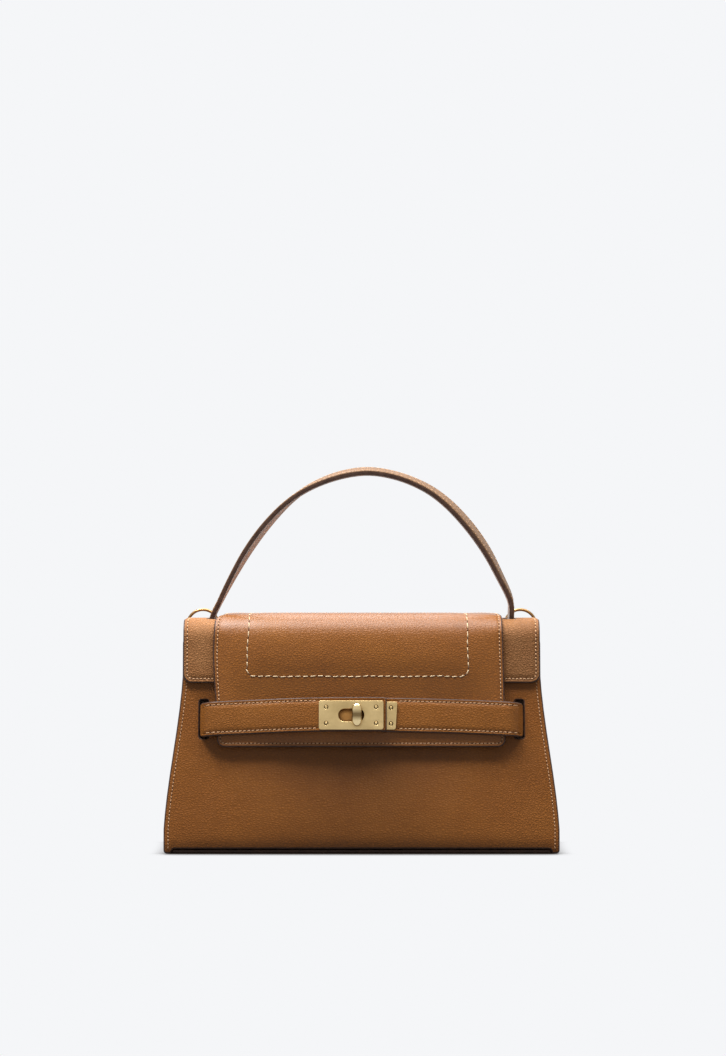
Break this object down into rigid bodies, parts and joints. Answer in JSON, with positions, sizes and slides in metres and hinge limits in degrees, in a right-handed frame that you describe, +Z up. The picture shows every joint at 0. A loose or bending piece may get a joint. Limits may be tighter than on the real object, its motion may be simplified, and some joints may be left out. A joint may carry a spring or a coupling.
{
  "type": "crossbody bag",
  "caption": "Small leather flap bag with a folding top handle, strap rings and a belt that closes over the flap with a turn lock.",
  "frame": {"origin": "middle of the base panel's underside, on the surface that the bag stands on", "axes": "+Z up, +X to the right seen from the front, the front with the lock faces -Y"},
  "size_m": [0.2206, 0.0887, 0.216],
  "materials": {
    "tan_leather": "satin, fine grain, dark painted edges",
    "inner_leather": "matt",
    "lining": "matt twill",
    "board": "matt fibre board",
    "brass": "brushed",
    "steel": "plain"
  },
  "bodies": {
    "bag_body": {"front_panel": "tan_leather", "back_panel": "tan_leather", "base_panel": "tan_leather", "left_gusset": "tan_leather", "right_gusset": "tan_leather", "base_board": "board", "front_board": "board", "back_board": "board", "body_magnet_left": "steel", "body_magnet_right": "steel", "lining_bag": "lining", "slip_pocket": "lining", "back_yoke": "tan_leather", "ring_loop_left": "tan_leather", "ring_loop_right": "tan_leather"},
    "flap": {"flap_wings": "tan_leather", "flap_cover": "tan_leather", "flap_lining": "inner_leather", "flap_magnet_left": "steel", "flap_magnet_right": "steel", "lock_washer": "steel", "left_belt": "tan_leather", "right_belt": "tan_leather", "lock_plate": "brass", "plate_rivet_upper_left": "brass", "plate_rivet_lower_left": "brass", "plate_rivet_upper_right": "brass", "plate_rivet_lower_right": "brass", "belt_tongue": "brass", "tongue_rivet_upper": "brass", "tongue_rivet_lower": "brass", "lock_post": "brass", "handle_toggle_left": "brass", "handle_toggle_right": "brass"},
    "knob": {"turn_knob": "brass"},
    "handle": {"handle_outer": "tan_leather", "handle_inner": "inner_leather"},
    "ring_left": {"strap_ring_left": "brass"},
    "ring_right": {"strap_ring_right": "brass"}
  },
  "joints": [
    {"name": "flap_open", "type": "hinge", "parent": "bag_body", "child": "flap", "pos_m": [0, 0.02457, 0.13], "axis": [-1, 0, 0], "range_deg": [0, 100]},
    {"name": "knob_turn", "type": "hinge", "parent": "flap", "child": "knob", "pos_m": [-0.0026, -0.045, 0.07793], "axis": [0, -0.9892, 0.1468], "range_deg": [0, 90]},
    {"name": "handle_fold", "type": "hinge", "parent": "flap", "child": "handle", "pos_m": [0, 0, 0.12645], "axis": [1, 0, 0], "range_deg": [-34, 17]},
    {"name": "ring_left_swing", "type": "hinge", "parent": "bag_body", "child": "ring_left", "pos_m": [-0.0914, 0.02939, 0.116], "axis": [-1, 0, 0], "range_deg": [0, 150]},
    {"name": "ring_right_swing", "type": "hinge", "parent": "bag_body", "child": "ring_right", "pos_m": [0.0914, 0.02939, 0.116], "axis": [-1, 0, 0], "range_deg": [0, 150]}
  ]
}
